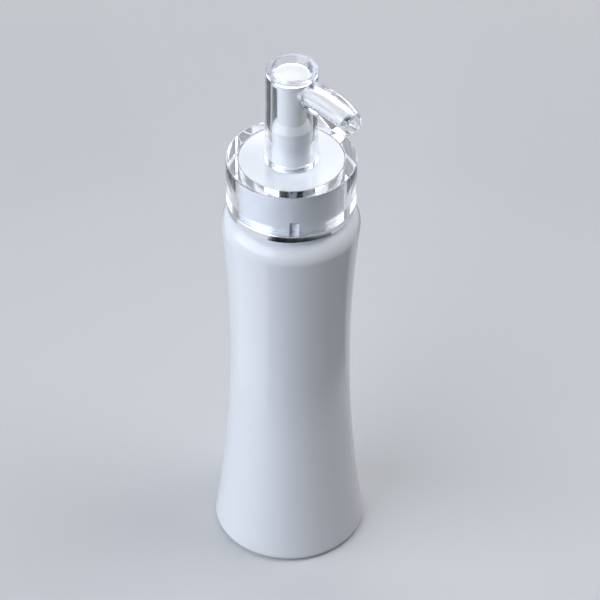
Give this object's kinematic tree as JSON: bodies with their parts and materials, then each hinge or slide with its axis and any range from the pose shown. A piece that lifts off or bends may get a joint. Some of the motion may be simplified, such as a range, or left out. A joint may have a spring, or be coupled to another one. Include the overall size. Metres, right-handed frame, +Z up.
{
  "type": "pump oil bottle",
  "caption": "Slim waisted bottle with a lock-down pump: clear beaked head over a white core, thick clear collar over a white cover, and a bright trim ring, for dispensing massage oil.",
  "frame": {"origin": "centre of the foot ring, on the plane the bottle stands on", "axes": "+Z up along the bottle's axis, +X along the beak"},
  "size_m": [0.0548, 0.0547, 0.2039],
  "materials": {
    "white_bottle": "glossy white blow-moulded plastic",
    "white_cover": "polished white moulding",
    "white_core": "satin white moulding",
    "cap_plastic": "white moulding",
    "clear_plastic": "polished clear acrylic",
    "plated_trim": "bright metal plating on a plastic ring",
    "pump_plastic": "natural polypropylene moulding",
    "piston_plastic": "soft polyethylene moulding",
    "tube_plastic": "natural extruded polyethylene",
    "gasket_foam": "foamed polyethylene",
    "valve_steel": "polished stainless ball",
    "spring_steel": "drawn stainless wire"
  },
  "bodies": {
    "bottle": {"bottle": "white_bottle"},
    "pump_body": {"neck_gasket": "gasket_foam", "pump_housing": "pump_plastic", "lock_chimney": "pump_plastic", "ball_cage": "pump_plastic", "dip_tube": "tube_plastic", "return_spring": "spring_steel"},
    "closure": {"screw_cap": "cap_plastic", "inner_collar": "white_cover", "trim_ring": "plated_trim", "outer_collar": "clear_plastic"},
    "piston": {"piston": "piston_plastic"},
    "head": {"pump_stem": "pump_plastic", "stem_plug": "pump_plastic", "actuator_core": "white_core", "spout_tube": "white_core", "actuator_shell": "clear_plastic"},
    "inlet_ball": {"inlet_ball": "valve_steel"},
    "outlet_ball": {"outlet_ball": "valve_steel"}
  },
  "joints": [
    {"name": "closure_lift", "type": "slide", "parent": "bottle", "child": "pump_body", "axis": [0, 0, 1], "range_m": [0, 0.00476]},
    {"name": "closure_turn", "type": "hinge", "parent": "pump_body", "child": "closure", "pos_m": [0, 0, 0], "axis": [0, 0, 1], "range_deg": [0, 540]},
    {"name": "head_lift", "type": "slide", "parent": "pump_body", "child": "piston", "axis": [0, 0, 1], "range_m": [0, 0.012], "deforming": ["return_spring"]},
    {"name": "head_turn", "type": "hinge", "parent": "piston", "child": "head", "pos_m": [0, 0, 0], "axis": [0, 0, 1], "continuous": true},
    {"name": "inlet_ball_lift", "type": "slide", "parent": "pump_body", "child": "inlet_ball", "axis": [0, 0, 1], "range_m": [0, 0.0015]},
    {"name": "outlet_ball_lift", "type": "slide", "parent": "head", "child": "outlet_ball", "axis": [0, 0, 1], "range_m": [0, 0.0012]}
  ],
  "couplings": [
    {"joint": "closure_turn", "follows": "closure_lift", "rad_per_m": 1978.9}
  ]
}
